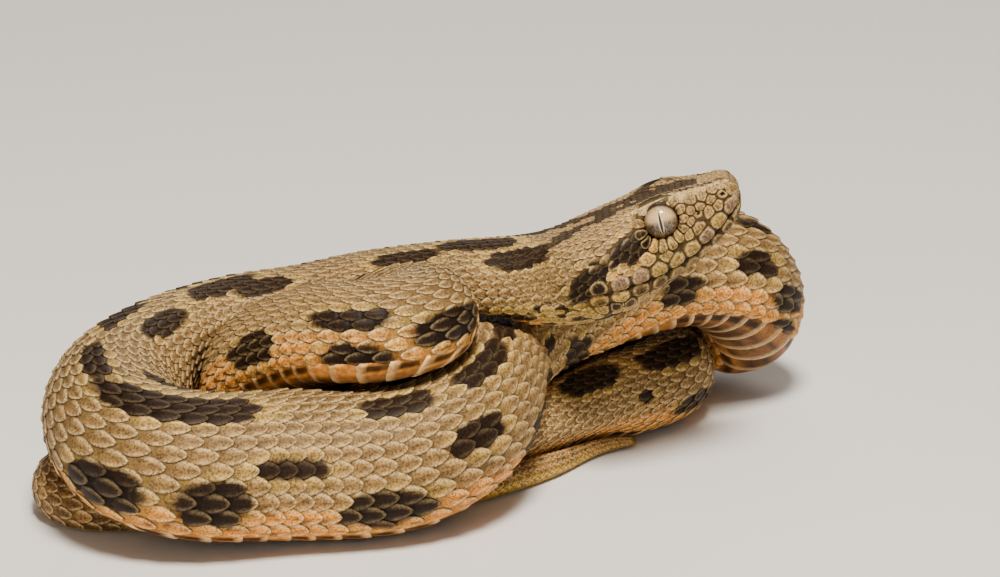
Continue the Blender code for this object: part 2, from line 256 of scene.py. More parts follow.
def pressed_reach(line, s, directions):
    """How far the body reaches from its axis where it bends, is pressed or lies on the floor."""
    point, _, bend, radius = line.at(s)
    reach = np.full(len(directions), radius)
    inward = directions @ bend
    reach = np.minimum(reach, FOLD_LIMIT / np.maximum(inward, TINY))
    offset = line.point - point
    distance = np.linalg.norm(offset, axis=1)
    apart = np.abs(line.s - s) > NEIGHBOUR_GIRTHS * np.maximum(line.radius, radius) + TOUCH_MARGIN
    for k in np.where(apart & (distance < line.radius + radius + TOUCH_MARGIN))[0]:
        toward = directions @ (offset[k] / distance[k])
        share = distance[k] * radius / (radius + line.radius[k]) - CONTACT_GAP
        reach = np.minimum(reach, np.where(toward > TINY, share / np.maximum(toward, TINY), np.inf))
    down = -directions[:, 2]
    return np.minimum(reach, np.where(down > TINY, point[2] / np.maximum(down, TINY), np.inf))


def head_reach(s, turn):
    """How far the head reaches from its axis: a rounded section, with a shield over each eye."""
    sections = np.array(HEAD_SECTIONS)
    width, top, bottom = (np.interp(s, sections[:, 0], sections[:, c]) for c in (1, 2, 3))
    tall = np.where(np.cos(turn) > 0, top, -bottom)
    n = HEAD_SQUARENESS
    reach = (np.abs(np.sin(turn) / width) ** n + np.abs(np.cos(turn) / tall) ** n) ** (-1 / n)
    up = 90 - np.degrees(np.arccos(np.clip(np.cos(turn), -1, 1)))
    return reach + BROW_RISE * bump(s - BROW_AT, BROW_LENGTH) * bump(up - BROW_TURN, BROW_WIDTH)


class Surface:
    """The skin as a grid over distance from the snout and turn about the centre line."""

    TURNS = 128

    def __init__(self, line):
        self.line = line
        self.s = np.r_[SNOUT_RINGS, np.arange(*HEAD_RINGS),
                       np.arange(HEAD_RINGS[1], line.length, BODY_RING_STEP), [line.length]]
        self.turn = np.arange(self.TURNS) * 2 * np.pi / self.TURNS
        count = len(self.s)
        reach = np.zeros((count, self.TURNS))
        self.left, self.back, self.axis = (np.zeros((count, 3)) for _ in range(3))
        for k, s in enumerate(self.s):
            self.axis[k], tangent, _, radius = line.at(s)
            left, back = frame_at(tangent)
            roll = math.radians(table(s, ROLL))
            self.back[k] = math.cos(roll) * back + math.sin(roll) * left
            self.left[k] = math.cos(roll) * left - math.sin(roll) * back
            share = smooth(*HEAD_TO_BODY, s)
            body = pressed_reach(line, s, self.directions(k)) if share > 0 else radius
            reach[k] = head_reach(s, self.turn) * (1 - share) + body * share
        self.outer = self.ease(reach)
        inset = FACET_GAP * table(self.s, FACET_SHARE)[:, None]
        skin_reach = self.outer - self.coat_depth(self.s)[:, None] - inset + self.features(self.outer)
        self.points = self.grid(skin_reach)
        self.normals = self.normal_grid(self.points)
        along = np.linalg.norm(np.roll(self.points, -1, 1) - self.points, axis=2) / (2 * np.pi / self.TURNS)
        self.arc = np.maximum(along, ARC_LEAST)
        run = np.linalg.norm(np.gradient(self.points, axis=0), axis=2) / np.gradient(self.s)[:, None]
        self.stretch = np.clip(run, *STRETCH_RANGE)

    def directions(self, k):
        return np.cos(self.turn)[:, None] * self.back[k] + np.sin(self.turn)[:, None] * self.left[k]

    def ease(self, reach):
        """The same reach with the body's outward edges, between pressed places, rounded off."""
        eased = reach.copy()
        for _ in range(EASE_ROUNDS):
            eased = (np.roll(eased, 1, 1) + 2 * eased + np.roll(eased, -1, 1)) / 4
            eased[1:-1] = (eased[:-2] + 2 * eased[1:-1] + eased[2:]) / 4
        body = self.s > EASED_FROM
        reach[body] = np.minimum(reach, eased)[body]
        return reach

    @staticmethod
    def coat_depth(s):
        return table(s, COAT_DEPTH)

    def grid(self, reach):
        across = (np.cos(self.turn)[None, :, None] * self.back[:, None]
                  + np.sin(self.turn)[None, :, None] * self.left[:, None])
        return self.axis[:, None] + reach[:, :, None] * across

    def normal_grid(self, points):
        down_body = np.gradient(points, axis=0)
        around = np.roll(points, -1, 1) - np.roll(points, 1, 1)
        normal = np.cross(around, down_body)
        normal /= np.maximum(np.linalg.norm(normal, axis=2), 1e-9)[:, :, None]
        outward = points - self.axis[:, None]
        return normal * np.sign(np.sum(normal * outward, axis=2))[:, :, None]

    def features(self, reach):
        """Folds of the head: lips, pit, nostril, the ring round the eye, the chin groove."""
        s = self.s[:, None]
        height = reach * np.cos(self.turn)
        side = reach * np.abs(np.sin(self.turn))
        made = np.zeros_like(reach)
        on_side = smooth(0.35, 1.0, side) * (1 - smooth(27, 31, s))
        lip = height - table(s, MOUTH)
        for rise, over, half in LIP_FOLDS:
            made += rise * bump(lip - over, half) * on_side
        for rise, place, half, begins in FACE_FOLDS:
            made += rise * spot(s, height, place, half) * smooth(*begins, side)
        made -= CHIN_GROOVE * bump(side, CHIN_GROOVE_HALF) * (height < 0) * plateau(4, 7, 20, 27, s)
        away = np.hypot(s - EYE_FROM_SNOUT, height - EYE_HEIGHT)
        ball = np.sqrt(np.maximum(EYE_RADIUS ** 2 - away ** 2, 0)) + EYE_OUT
        socket = (away < EYE_RADIUS + SOCKET_RIM) & (side > 3.5)
        made = np.where(socket, np.minimum(made, ball - SOCKET_DEPTH - side), made)
        return made + LID_RISE * bump(away - LID_RADIUS, LID_HALF) * smooth(3, 6, side)

    def read(self, grid, s, turn):
        """Any grid, read at distances s and turns in radians."""
        i = np.clip(np.interp(s, self.s, np.arange(len(self.s))), 0, len(self.s) - 1.001)
        j = (turn / (2 * np.pi) * self.TURNS) % self.TURNS
        i0, j0 = i.astype(int), j.astype(int)
        fi, fj = i - i0, j - j0
        j1 = (j0 + 1) % self.TURNS
        i1, j0 = i0 + 1, j0 % self.TURNS
        if grid.ndim == 3:
            fi, fj = fi[..., None], fj[..., None]
        return ((grid[i0, j0] * (1 - fj) + grid[i0, j1] * fj) * (1 - fi)
                + (grid[i1, j0] * (1 - fj) + grid[i1, j1] * fj) * fi)


# ---- colours ------------------------------------------------------------------
def tone(*srgb):
    """A colour in linear light from its sRGB values, 0 to 255."""
    c = np.array(srgb) / 255.0
    return np.where(c <= 0.04045, c / 12.92, ((c + 0.055) / 1.055) ** 2.4)


GROUND, GROUND_PALE, GREY = tone(146, 113, 67), tone(174, 138, 86), tone(106, 86, 58)
# the second here is near black: the colour of real dark dots, squares and the pupil, and also painted shade
# in the head's hollows
BLOTCH, INK_AND_SHADE = tone(38, 24, 14), tone(24, 16, 10)
SCALE_RIM, CREAM = tone(232, 202, 146), tone(238, 208, 152)
ORANGE, YELLOW = tone(255, 170, 74), tone(206, 170, 84)
OLIVE, TAIL_DARK = tone(168, 126, 70), tone(92, 64, 34)
TAIL_YELLOW, TAIL_TIP = tone(224, 176, 58), tone(150, 112, 56)
LABIAL, JAW_PALE, JAW_DARK = tone(150, 120, 96), tone(200, 164, 100), tone(84, 58, 36)
# the second of these is painted shade for belly plates that lie in shadow, not a colour of the belly
BELLY, BELLY_PAINTED_SHADE, BELLY_TAIL = tone(146, 100, 54), tone(84, 54, 30), tone(206, 158, 58)
IRIS_GREY, IRIS_DARK, IRIS_CREAM = tone(138, 120, 98), tone(26, 20, 16), tone(206, 176, 126)
IRIS_BROWN, PUPIL_RIM = tone(120, 92, 60), tone(238, 214, 160)
CROWN_STRIPE = [(4, 6), (13, 13), (20, 15), (27, 22), (32, 34), (38, 44)]   # degrees from the back
CROWN_STRIPE_HALF = [(10, 10), (15, 17), (22, 16), (30, 14), (38, 15)]      # its half width in degrees


def mix(a, b, t):
    t = np.clip(t, 0, 1)[..., None]
    return a * (1 - t) + b * t


def paint(colour, *layers):
    """Layers of (colour, amount) over a colour, each over the ones before."""
    for layer, amount in layers:
        colour = mix(colour, layer, amount)
    return colour


def all_marks():
    """The blotches: the stated ones, and the repeating ones on every other length."""
    made = [(first + gap * k, half, turn, wide)
            for first, gap, count, half, turn, wide in MARK_ROWS for k in range(count)]
    for k in range(int(MARKED_LENGTH / MARK_PERIOD)):
        for side in (1, -1):
            start = MARKS_FROM + MARK_PERIOD * (k + (RIGHT_LAG if side < 0 else 0.0))
            for at, half, turn, wide in MARK_CYCLE:
                s = start + MARK_PERIOD * at + 3 * (RNG.random() - 0.5)
                size = 0.8 + 0.4 * RNG.random()
                if s < MARKS_END and not any(a < s < b and one == side for a, b, one in MARKED):
                    made.append((s, half * size, side * turn, wide * size))
    return np.array(made, float)


ALL_MARKS = all_marks()


def blotch_field(s, turn):
    """0 on a blotch's edge, rising to 1 in its middle, falling below 0 outside."""
    degrees = degrees_round(turn)
    field = np.full(s.shape, -1.0)
    for at, half, middle, wide in ALL_MARKS:
        near = np.abs(s - at) < 2.5 * half
        if near.any():
            gap = np.abs(degrees[near] - middle)
            reach = ((np.abs(s[near] - at) / half) ** BLOTCH_POWER
                     + (np.minimum(gap, 360 - gap) / wide) ** BLOTCH_POWER)
            field[near] = np.maximum(field[near], 1 - reach ** (1 / BLOTCH_POWER))
    return field


def body_colour(s, turn, seed):
    """Grey brown by the back, orange low down, and blotches with a yellow edge."""
    from_back = np.abs(degrees_round(turn))
    field = blotch_field(s, turn) + (seed - 0.5) * 0.16
    flank = mix(ORANGE, mix(YELLOW, BLOTCH, smooth(0.55, 0.75, seed)), 1 - smooth(55, 100, s))
    colour = paint(GROUND,
                   (GREY, (1 - smooth(10, 60, from_back)) * 0.5 + (seed > 0.7) * 0.25),
                   (GROUND_PALE, smooth(60, 100, from_back) * 0.35 + 0.15 * seed),
                   (flank, smooth(98, 112, from_back) * (0.85 + 0.15 * seed)),
                   (YELLOW, bump(field + 0.16, 0.14) * 0.55),
                   (BLOTCH, smooth(-0.04, 0.08, field)),
                   (tail_colour(s, turn, seed), smooth(742, 764, s)))
    return colour * (0.93 + 0.14 * seed)[..., None]


def tail_colour(s, turn, seed):
    mottle = smooth(0.25, 0.75, 0.5 + 0.5 * np.sin(s / 2.2 + 4 * seed) * np.cos(turn * 3 + s / 5))
    low = smooth(68, 98, np.abs(degrees_round(turn))) * smooth(772, 806, s)
    return paint(OLIVE, (TAIL_DARK, mottle * 0.8), (TAIL_YELLOW, low * (0.6 + 0.4 * seed)),
                 (TAIL_TIP, smooth(854, 862, s) * 0.5))


def crown_layers(s, from_back, seed):
    """Two dark stripes that part toward the nape, a dark patch before them, a pale line on each side."""
    crown = 1 - smooth(42, 50, from_back)
    half = table(s, CROWN_STRIPE_HALF) * (0.95 + 0.22 * np.sin(0.9 * s + 1))
    stripe = bump(from_back - table(s, CROWN_STRIPE), half)
    stripe = stripe * smooth(12.0, 14, s + 3 * seed) * (0.55 + 0.45 * smooth(0.12, 0.3, seed))
    front = bump(s - 9.0, 3.6) * bump(from_back - 12, 15)
    dark = np.maximum(crown, smooth(24, 28, s)) * stripe + crown * front + 0.2 * seed
    under = bump(from_back - 37, 4.5) * (1 - smooth(13, 17, s))
    return ((BLOTCH, smooth(0.34, 0.5, dark) * 0.92),
            (BLOTCH, (seed > 0.86) * crown * 0.5),
            (mix(CREAM, YELLOW, 0.4), bump(from_back - 48, 6) * (1 - smooth(17, 20, s)) * 0.75),
            (BLOTCH, under * (0.5 + 0.4 * smooth(0.25, 0.45, seed))))


def jaw_layers(s, height, seed):
    """Yellow grey below the eye, the labials, the lower jaw and the side of the throat."""
    lip = height - table(s, MOUTH)
    below_eye = smooth(5.6, 4.6, lip) * smooth(6, 10, s)
    throat = smooth(20, 27, s) * smooth(-3.6, -5.2, height)
    return ((mix(YELLOW, GREY, 0.4), below_eye * 0.5 * (seed > 0.4)),
            (mix(LABIAL, mix(YELLOW, GREY, 0.45), smooth(0.5, 0.6, seed)), smooth(2.9, 2.2, lip) * 0.85),
            (mix(JAW_PALE, JAW_DARK, smooth(0.35, 0.75, seed)), smooth(0.2, -0.5, lip) * 0.9),
            (mix(YELLOW, BLOTCH, smooth(0.40, 0.62, seed)), throat * 0.9))


def stripe_layers(s, height, from_back, seed):
    """The dark stripe from the eye to the corner of the mouth, with a yellow edge above and below."""
    band, half = height - table(s, STRIPE), table(s, STRIPE_HALF)
    here = plateau(14.5, 16.5, 31.5, 33, s) * (from_back > 45)
    above = bump(band - half - 0.9, 0.7) * here * 0.75 * smooth(0.4, 0.7, seed)
    return ((mix(YELLOW, ORANGE, 0.25), above),
            (mix(YELLOW, ORANGE, 0.3), bump(band + half + 0.7, 0.7) * here * 0.9),
            (BLOTCH, smooth(half + 0.25, half - 0.25, np.abs(band) + 1.5 * (seed - 0.5)) * here))


def head_colour(s, turn, height, seed):
    from_back = np.abs(degrees_round(turn))
    colour = paint(GROUND_PALE, (GREY, 0.75 * seed ** 2), *crown_layers(s, from_back, seed),
                   *jaw_layers(s, height, seed), *stripe_layers(s, height, from_back, seed),
                   (CREAM, smooth(150, 165, from_back) * 0.6))
    return colour * (0.60 + 0.50 * seed)[..., None]


def markings(s, turn, height, seed):
    """The colour of any place. The seed, 0 to 1 and one for each scale, makes neighbours differ."""
    seed = seed + 0 * s
    return mix(head_colour(s, turn, height, seed), body_colour(s, turn, seed), smooth(31, 34, s))


# ---- making meshes --------------------------------------------------------------
STRIPS = 12                 # into which the skin is cut to lay it out flat
PATCH = 0.003               # a scale's patch on that layout


def strip_map(s, turn, length):
    """The skin laid out flat in strips, so that no two places share one spot."""
    along = np.clip(s / length, 0, 0.99999) * STRIPS
    row = np.floor(along)
    across = (turn / (2 * np.pi)) % 1.0
    return np.stack([(along - row) * 0.96 + 0.02, (row + 0.04 + 0.92 * across) / STRIPS], axis=-1)


def add_mesh(name, points, faces, colour, map_uv, finish):
    mesh = bpy.data.meshes.new(name)
    faces = np.asarray(faces, dtype=np.int32)
    mesh.vertices.add(len(points))
    mesh.vertices.foreach_set("co", (points * MM).astype(np.float32).ravel())
    mesh.loops.add(faces.size)
    mesh.loops.foreach_set("vertex_index", faces.ravel())
    mesh.polygons.add(len(faces))
    mesh.polygons.foreach_set("loop_start", np.arange(len(faces), dtype=np.int32) * faces.shape[1])
    mesh.polygons.foreach_set("use_smooth", np.ones(len(faces), dtype=bool))
    mesh.update(calc_edges=True)
    attribute = mesh.color_attributes.new("markings", "FLOAT_COLOR", "POINT")
    rgba = np.concatenate([np.clip(colour, 0, 1), np.ones((len(points), 1))], axis=1)
    attribute.data.foreach_set("color", rgba.astype(np.float32).ravel())
    uv = mesh.uv_layers.new(name="OFBake")
    uv.data.foreach_set("uv", map_uv[faces.ravel()].astype(np.float32).ravel())
    mesh.validate()
    made = bpy.data.objects.new(name, mesh)
    made.data.materials.append(finish)
    bpy.context.scene.collection.objects.link(made)
    return made


def add_coat(name, points, faces, colours, maps, finish):
    """One mesh from lists of the parts' points, faces, colours and places on the map."""
    points, faces, colours, maps = (np.concatenate(parts) for parts in (points, faces, colours, maps))
    return add_mesh(name, points, faces, colours, np.clip(maps, 0.001, 0.999), finish)


def closed_tube(rings, turns, clockwise):
    """Faces over rings of points, which may run either way round, closed at both ends by rows of quads."""
    i, j = np.meshgrid(np.arange(rings - 1), np.arange(turns), indexing="ij")
    a, b = (i * turns + j).ravel(), (i * turns + (j + 1) % turns).ravel()
    k = np.arange(turns // 2 - 1)
    first = np.stack([k, k + 1, turns - 2 - k, turns - 1 - k], axis=1)
    last = first + (rings - 1) * turns
    if clockwise:
        return np.concatenate([np.stack([a, a + turns, b + turns, b], axis=1), first, last[:, ::-1]])
    return np.concatenate([np.stack([a, b, b + turns, a + turns], axis=1), first[:, ::-1], last])


# Scale templates: rows from root to free end, columns across.
TEMPLATES = {
    "keeled": ([0.0, 0.3, 0.52, 0.7, 0.84, 0.94, 1.0], [-1.0, -0.78, -0.36, 0.0, 0.36, 0.78, 1.0]),
    "plate": ([0.0, 0.08, 0.3, 0.6, 0.88, 0.97, 1.0], [-1.0, -0.86, -0.4, 0.0, 0.4, 0.86, 1.0]),
    "belly": ([0.0, 0.25, 0.5, 0.75, 0.92, 1.0], np.linspace(-1, 1, 17)),
}
MIDDLE = 0.42               # share of a scale's length at which it stands on its place
WIDEST = 0.45               # share of a keeled scale's length at which it is widest


def keeled_outline(u):
    root = np.clip(1 - ((WIDEST - u) / 0.5) ** 2, 0, 1) ** 0.5
    tip = np.clip(1 - (np.clip(u - WIDEST, 0, 1) / 0.558) ** 2.1, 0.02, 1) ** 0.9
    return np.where(u < WIDEST, root, tip)


def scale_form(u, v, kind, keel):
    """Half width and height of a scale at u from root to free end and v across, the height over its lift.

    The root is sunk in the skin, and the free end turns down."""
    if kind == "keeled":
        arch = (-0.25 + 1.15 * u ** 0.8) * (1 - 0.38 * v ** 2)
        ridge = keel * bump(v, 0.25) * (0.15 + 0.5 * u) * (1 - 0.3 * u ** 4)
        return keeled_outline(u), arch + ridge - 0.22 * (u == 1)
    if kind == "plate":
        half = np.clip(1 - np.abs(2 * u - 1) ** 4.5, 0.2, 1) ** (1 / 4.5) * (1.06 - 0.2 * u)
        return half, (1 - np.abs(2 * u - 1) ** 5) * (1 - np.abs(v) ** 6) - 0.18 + 0.1 * u
    return np.ones_like(u), (-0.25 + 1.1 * u ** 0.7) * (1 - 0.5 * np.abs(v) ** 6) - 0.2 * (u == 1)


def lay_scales(surface, scales):
    """Where every point of every scale stands: s, turn and height over the skin; with u and v."""
    u, v = (x.ravel()[None] for x in np.meshgrid(*TEMPLATES[scales.kind], indexing="ij"))
    half, height = scale_form(u, v, scales.kind, scales.keel)
    a = (u - MIDDLE) * scales.long[:, None]
    b = v * half * scales.wide[:, None] / 2
    if scales.kind == "belly":
        a = a - 0.18 * scales.long[:, None] * v ** 2
    cos, sin = np.cos(scales.lean)[:, None], np.sin(scales.lean)[:, None]
    arc = surface.read(surface.arc, scales.s, scales.turn)[:, None]
    at_s = scales.s[:, None] + a * cos - b * sin
    at_turn = scales.turn[:, None] + (a * sin + b * cos) / arc
    return at_s, at_turn, height * scales.lift[:, None], u + 0 * at_s, v + 0 * at_s


def scale_faces(rows, columns):
    """Faces of one scale, its top and a skirt round it, and the rim's points in order."""
    index = np.arange(rows * columns).reshape(rows, columns)
    q = index[:-1, :-1].ravel()
    top = np.stack([q, q + columns, q + columns + 1, q + 1], axis=1)
    rim = np.concatenate([index[0], index[1:, -1], index[-1, -2::-1], index[-2:0:-1, 0]])
    under = rows * columns + np.arange(len(rim))
    skirt = np.stack([rim, np.roll(rim, -1), np.roll(under, -1), under], axis=1)
    return np.concatenate([top, skirt]), rim


def build_coat(name, surface, groups, finish, colour_of):
    """One mesh of many scales, from groups of Scales."""
    points, faces, colours, maps = [], [], [], []
    base = 0
    for scales in groups:
        count = len(scales.s)
        seed = RNG.random(count)
        scales = scales._replace(lift=scales.lift * (0.9 + 0.2 * RNG.random(count)))
        at_s, at_turn, height, u, v = lay_scales(surface, scales)
        at_s = np.clip(at_s, 0.02, surface.line.length - 0.05)
        place = surface.read(surface.points, at_s, at_turn)
        normal = surface.read(surface.normals, at_s, at_turn)
        cell, rim = scale_faces(*(len(x) for x in TEMPLATES[scales.kind]))
        under = place[:, rim] - normal[:, rim] * SKIRT
        every = np.concatenate([place + normal * height[..., None], under], axis=1)
        points.append(every.reshape(-1, 3))
        first = np.arange(count) * every.shape[1] + base
        faces.append((cell[None] + first[:, None, None]).reshape(-1, 4))
        base += every.shape[1] * count
        tones = colour_of(surface, scales, seed, u, v, at_s, at_turn)
        # painted shade: the skirt round each scale, down in the gaps, at half the scale's colour
        colours.append(np.concatenate([tones, tones[:, rim] * 0.5], axis=1).reshape(-1, 3))
        patch = np.stack([(u - 0.5) * PATCH, v * 0.5 * PATCH], axis=-1)
        root = strip_map(scales.s, scales.turn, surface.line.length)
        maps.append((root[:, None] + np.concatenate([patch, patch[:, rim]], axis=1)).reshape(-1, 2))
    return add_coat(name, points, faces, colours, maps, finish)


def scale_tones(surface, scales, seed, u, v, at_s, at_turn):
    """Each scale's marking with dark dots, a keel, a pale rim, and painted shade: a dark line round it and
    a darker root, where the scales meet and overlap.
    """
    s, turn, seed = scales.s[:, None], scales.turn[:, None], seed[:, None]
    reach = surface.read(surface.outer, scales.s, scales.turn)[:, None]
    near_s, near_turn = 0.5 * (s + at_s), 0.5 * (turn + at_turn)
    base = markings(near_s, near_turn, reach * np.cos(near_turn), seed)
    dark = 1 - smooth(0.03, 0.10, base.mean(axis=2))
    dots = smooth(0.72, 0.9, np.abs(np.sin(41.7 * u + 9 * seed) * np.cos(23.3 * v + 31 * seed)))
    low = smooth(92, 104, np.abs(degrees_round(turn))) * smooth(21, 27, s)
    base = mix(base, INK_AND_SHADE, dots * (0.36 + 0.36 * low * (seed > 0.35)) * (1 - dark))
    across = np.abs(v)
    if scales.kind == "keeled":
        rim = np.maximum(bump(across - 0.80, 0.16) * smooth(0.2, 0.5, u), bump(u - 0.93, 0.06))
        # painted shade: a dark line in the gaps round the scale
        line = np.maximum(smooth(0.86, 1.0, across), smooth(0.96, 1.0, u)) * smooth(0.1, 0.4, u)
        # painted shadow at the root, where the scale before overlaps it
        root_shadow = smooth(0.5, 0.15, u) * 0.5
        ridge = bump(v, 0.17) * smooth(0.25, 0.5, u) * (s > 30)
    else:
        along = np.abs(2 * u - 1)
        rim = np.maximum(bump(across - 0.82, 0.14), bump(along - 0.82, 0.14))
        # painted shade: a dark line in the gaps round the plate
        line = np.maximum(smooth(0.88, 1.0, across), smooth(0.88, 1.0, along))
        root_shadow = ridge = np.zeros_like(u)
    base = mix(base, SCALE_RIM, rim * (0.48 + 0.22 * low - (0.42 + 0.1 * low) * dark))
    base = mix(base, base * 0.35, ridge * (1 - dark) * 0.6)
    base = mix(base, base * 0.18, line * (0.75 + 0.2 * low))
    return base * (1 - root_shadow)[..., None]


def belly_tones(surface, scales, seed, u, v, at_s, at_turn):
    """Orange brown plates, dark mottled, with a pale free edge and black squares near their ends, and
    painted shade on the far loop's bend.
    """
    s, order, across = scales.s[:, None], np.arange(len(scales.s))[:, None], np.abs(v)
    base = mix(BELLY, ORANGE, smooth(0.45, 0.7, across) * 0.6)
    # painted shade: the plates of the far loop's bend, round 275 mm from the snout, darkened as if in
    # shadow
    base = mix(base, BELLY_PAINTED_SHADE, bump(s - 275, 32) * 0.75)
    mottle = np.abs(np.sin(37 * u + order) * np.cos(23 * v + 3 * order))
    base = mix(base, BLOTCH, smooth(0.55, 0.9, mottle) * 0.6)
    chance = np.abs(np.sin(order * 12.9898 + np.sign(v) * 37.7))
    block = (chance > 0.35) * smooth(0.66, 0.72, across) * smooth(1.0, 0.95, across)
    middle = smooth(0.3, 0.8, np.sin(order * 7.31 + 9 * v) * np.sin(order * 3.7 + 4 * v)) * (across < 0.62)
    inside = smooth(0.15, 0.3, u) * smooth(0.93, 0.84, u)
    base = mix(base, INK_AND_SHADE, (block + middle * 0.75) * inside * 0.92)
    base = mix(base, BELLY_TAIL, smooth(746, 760, s) * 0.7)
    return mix(base, CREAM, smooth(0.86, 0.96, u) * 0.7)


# ---- where the scales stand --------------------------------------------------------
def row_turns(rows):
    """Middle turn and width in degrees of each row on one side, from the middle of the back down."""
    wide = 0.86 + 0.62 * (np.arange(rows + 1) / rows) ** 3
    wide[0] *= 0.5
    wide *= BELLY_FROM / wide.sum()
    start = np.r_[0, np.cumsum(wide)[:-1]]
    middle = start + wide / 2
    middle[0] = 0
    wide[0] *= 2
    return middle, wide


def stations(start, end, wider=1.0):
    s, found = start, []
    while s < end:
        found.append(s)
        s += wider * table(s, SPACING)
    return np.array(found)


def trunk_scales(surface, start, end, rows):
    """Keeled scales in rows along the body, each row half a scale behind its neighbours."""
    middle, wide = row_turns(rows)
    base = stations(start, end)
    step = table(base, SPACING)
    made = []
    for row in range(rows + 1):
        long_share, wide_share = (np.interp(row / rows, ROW_SHARES, x) for x in (ROW_LONG, ROW_WIDE))
        for side in ((1, -1) if row else (1,)):
            s = base + (step / 2 if row % 2 else 0) + step * 0.06 * (RNG.random(len(base)) - 0.5)
            turn = np.full(len(s), math.radians(side * middle[row]))
            place = np.clip(s, 0, surface.line.length - 1)
            arc = surface.read(surface.arc, place, turn)
            stretch = np.maximum(surface.read(surface.stretch, place, turn), 0.9) ** 0.6
            made.append((s, turn, step * long_share / stretch, arc * math.radians(wide[row]) * wide_share,
                         np.zeros(len(s)), Surface.coat_depth(s) * 0.80))
    return [Scales(*(np.concatenate(column) for column in zip(*made)), "keeled", 0.6)]


def belly_plates(surface, start, end):
    """Broad plates in one row, each from one side's lowest row of scales to the other's."""
    s = stations(start, end, BELLY_SPACING)
    step = BELLY_SPACING * table(s, SPACING)
    turn = np.full(len(s), math.pi)
    wide = surface.read(surface.arc, s, turn) * math.radians(2 * (180 - BELLY_FROM) + BELLY_OVERLAP)
    return [Scales(s, turn, step * 1.45, wide, np.zeros(len(s)), Surface.coat_depth(s) * 0.7, "belly", 0.0)]


def has_plates(s, turns, height, side):
    """Where the head carries other plates or an eye, and so none of the small scales."""
    eye = (np.hypot(s - EYE_FROM_SNOUT, height - EYE_HEIGHT) <= EYE_RADIUS + 1.0) & (side >= 4)
    brow = (np.abs(s - BROW_PLATE) < 2.9) & (np.abs(np.degrees(np.abs(turns)) - BROW_PLATE_TURN) < 6)
    lips = (height < table(s, MOUTH) + 2.9) & (s <= 29.5)
    front = (side > 3.0) & (((s < 15.5) & (height < 3.9)) | ((s < 18) & (height < 0.6)))
    stripe = (np.abs(height - table(s, STRIPE)) < 2.0) & (s > 15.5) & (s < 32.5)
    return eye | brow | lips | front | stripe


def head_scales(surface):
    """Small keeled scales of the crown and temples, growing toward the nape."""
    made = []
    s, odd = 0.7, 0
    while s < 38.5:
        size = table(s, [(0.7, 0.8), (3, 0.95), (20, 1.4), (38, 1.7)])
        arc = surface.read(surface.arc, np.array([s]), np.array([0.8]))[0]
        step = math.degrees(size / max(arc, 6.0))
        turns = np.radians(np.arange(-128, 129, step) + odd * 0.5 * step)
        reach = surface.read(surface.outer, np.full(len(turns), s), turns)
        turns = turns[~has_plates(s, turns, reach * np.cos(turns), np.abs(reach * np.sin(turns)))]
        count = len(turns)
        shake = RNG.random((2, count)) - 0.5
        made.append((s + 0.25 * shake[0], turns + 0.012 * shake[1], np.full(count, size * 1.6),
                     np.full(count, size * 1.15), 0.2 * shake[1], np.full(count, 0.26)))
        s += size * 0.92
        odd = 1 - odd
    return [Scales(*(np.concatenate(column) for column in zip(*made)), "keeled", 0.35)]


def turn_at_height(surface, s, height, side):
    """The turn where the head's side has this height over its axis."""
    turns = np.radians(np.linspace(20, 160, 280))
    found = []
    for one, level in zip(s, height):
        levels = surface.read(surface.outer, np.full(len(turns), one), turns) * np.cos(turns)
        found.append(side * turns[np.argmin(np.abs(levels - level))])
    return np.array(found)


# Edges of the plates along the lips, from the snout.
UPPER_LABIALS = [0.7, 3.3, 6.1, 9.1, 12.3, 15.5, 18.7, 21.9, 25.3, 28.6]
LOWER_LABIALS = [0.7, 2.7, 5.1, 7.7, 10.5, 13.5, 16.6, 19.8, 23.0, 26.2, 29.3]


def face_centres():
    """(s, height, kind) of each plate of one side of the face; the nostril and the pit have one each."""
    found = [(*NOSTRIL, "hole"), (*PIT, "hole")]
    for edges, over in ((UPPER_LABIALS, 1.45), (LOWER_LABIALS, -1.15)):
        middles = [(a + b) / 2 for a, b in zip(edges, edges[1:])]
        found += [(s, table(s, MOUTH) + over, "lip") for s in middles]
    found += [(s, table(s, MOUTH) - 2.9, "chin") for s in np.arange(5.0, 30.5, 2.1)]
    ring = EYE_RADIUS + 0.72
    found += [(EYE_FROM_SNOUT + math.cos(a) * ring, EYE_HEIGHT + math.sin(a) * ring, "ring")
              for a in np.radians(np.arange(148, 394, 24))]
    for row, height in enumerate(np.arange(-4.5, 4.4, 1.55)):
        for x in np.arange(0.9 + 0.9 * (row % 2), 18.0, 1.85):
            s, level = x + 0.7 * (RNG.random() - 0.5), height + 0.6 * (RNG.random() - 0.5)
            off_eye = math.hypot(s - EYE_FROM_SNOUT, level - EYE_HEIGHT) > EYE_RADIUS + 1.55
            on_cheek = level > table(s, MOUTH) + 3.0 and (s < 15.5 or level < 0.2)
            if off_eye and on_cheek and all(math.hypot(s - a, level - b) > 1.1 for a, b, _ in found):
                found.append((s, level, "cheek"))
    return found


PLATE_SIDES = 20
PLATE_RINGS = np.array([0.3, 0.5, 0.72, 0.9, 1.0])      # a plate's rings, as shares of its reach
PLATE_RISE = np.array([1.0, 0.98, 0.9, 0.6, -0.2])      # and their height over its lift
LARGEST_PLATE = {"ring": 1.0, "hole": 1.25, "lip": 1.7, "chin": 1.7, "cheek": 1.7}


def plate_faces():
    """Faces of one plate of the mosaic: bands between its rings, the last one under it, and its middle."""
    n = PLATE_SIDES
    faces = [(r * n + k, r * n + (k + 1) % n, (r + 1) * n + (k + 1) % n, (r + 1) * n + k)
             for r in range(len(PLATE_RINGS)) for k in range(n)]
    faces += [(k, n - 1 - k, n - 2 - k, k + 1) for k in range(n // 2 - 1)]
    return np.array(faces)


